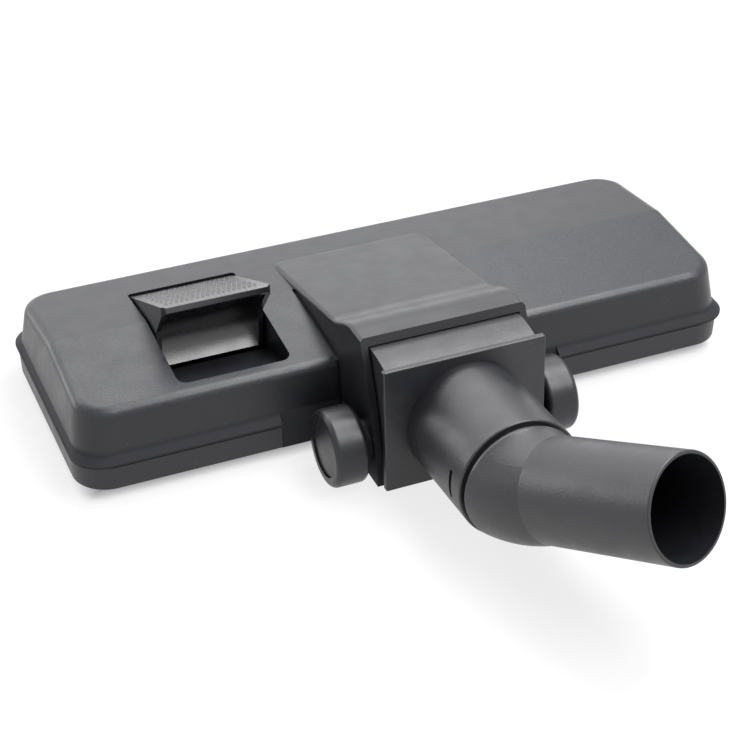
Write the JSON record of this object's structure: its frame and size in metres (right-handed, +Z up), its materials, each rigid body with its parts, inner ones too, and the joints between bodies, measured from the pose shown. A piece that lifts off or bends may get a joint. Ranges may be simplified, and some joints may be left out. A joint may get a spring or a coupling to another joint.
{
  "type": "vacuum floor brush head",
  "caption": "Wheeled vacuum floor head with a wide drafted housing, toe pedal that lowers brush rows, pitching neck and swivel elbow with a round wand socket.",
  "frame": {"origin": "on the floor, at the centre of the overall plan", "axes": "+X along the head, +Y to the head's front edge, +Z up; the neck and elbow reach towards -Y"},
  "size_m": [0.2724, 0.258, 0.0745],
  "materials": {
    "black_plastic": "fine-grained moulded plastic",
    "wheel_plastic": "satin moulded plastic",
    "pedal_plastic": "satin-gloss moulded plastic with a knurled pad",
    "clip_plastic": "plain moulded plastic",
    "inner_plastic": "plain moulded plastic",
    "bristle": "tufted nylon bristle",
    "steel": "zinc-plated steel",
    "sole_steel": "pressed stainless sheet",
    "pile": "short directional pile"
  },
  "bodies": {
    "head": {"top_housing": "black_plastic", "base_tray": "black_plastic", "sole_plate": "sole_steel", "rear_lint_strip": "pile", "front_lint_strip": "pile", "case_screws": "steel", "sole_screws": "steel", "axle_left": "wheel_plastic", "axle_right": "wheel_plastic", "pedal_pin": "steel", "carrier_spring_left": "steel", "carrier_spring_right": "steel"},
    "neck": {"neck": "black_plastic", "swivel_clip": "clip_plastic"},
    "elbow": {"elbow": "black_plastic"},
    "wheel_left": {"wheel_left": "wheel_plastic"},
    "wheel_right": {"wheel_right": "wheel_plastic"},
    "pedal": {"pedal": "pedal_plastic"},
    "brush": {"brush_carrier": "inner_plastic", "rear_brush_bar": "inner_plastic", "front_brush_bar": "inner_plastic", "rear_bristles": "bristle", "front_bristles": "bristle"}
  },
  "joints": [
    {"name": "neck_pitch", "type": "hinge", "parent": "head", "child": "neck", "pos_m": [0, 0.0075, 0.0148], "axis": [-1, 0, 0], "range_deg": [0, 22]},
    {"name": "elbow_swivel", "type": "hinge", "parent": "neck", "child": "elbow", "pos_m": [0, -0.05284, 0.02911], "axis": [0, -0.9981, 0.061], "continuous": true},
    {"name": "wheel_left_spin", "type": "hinge", "parent": "head", "child": "wheel_left", "pos_m": [0, 0.0075, 0.0148], "axis": [1, 0, 0], "continuous": true},
    {"name": "wheel_right_spin", "type": "hinge", "parent": "head", "child": "wheel_right", "pos_m": [0, 0.0075, 0.0148], "axis": [1, 0, 0], "continuous": true},
    {"name": "pedal_rock", "type": "hinge", "parent": "head", "child": "pedal", "pos_m": [-0.071, 0.0992, 0.0298], "axis": [1, 0, 0], "range_deg": [0, 23]},
    {"name": "brush_drop", "type": "slide", "parent": "head", "child": "brush", "axis": [0, 0, -1], "range_m": [0, 0.006], "deforming": ["carrier_spring_left", "carrier_spring_right"]}
  ],
  "couplings": [
    {"joint": "brush_drop", "follows": "pedal_rock", "m_per_rad": 0.0149}
  ]
}
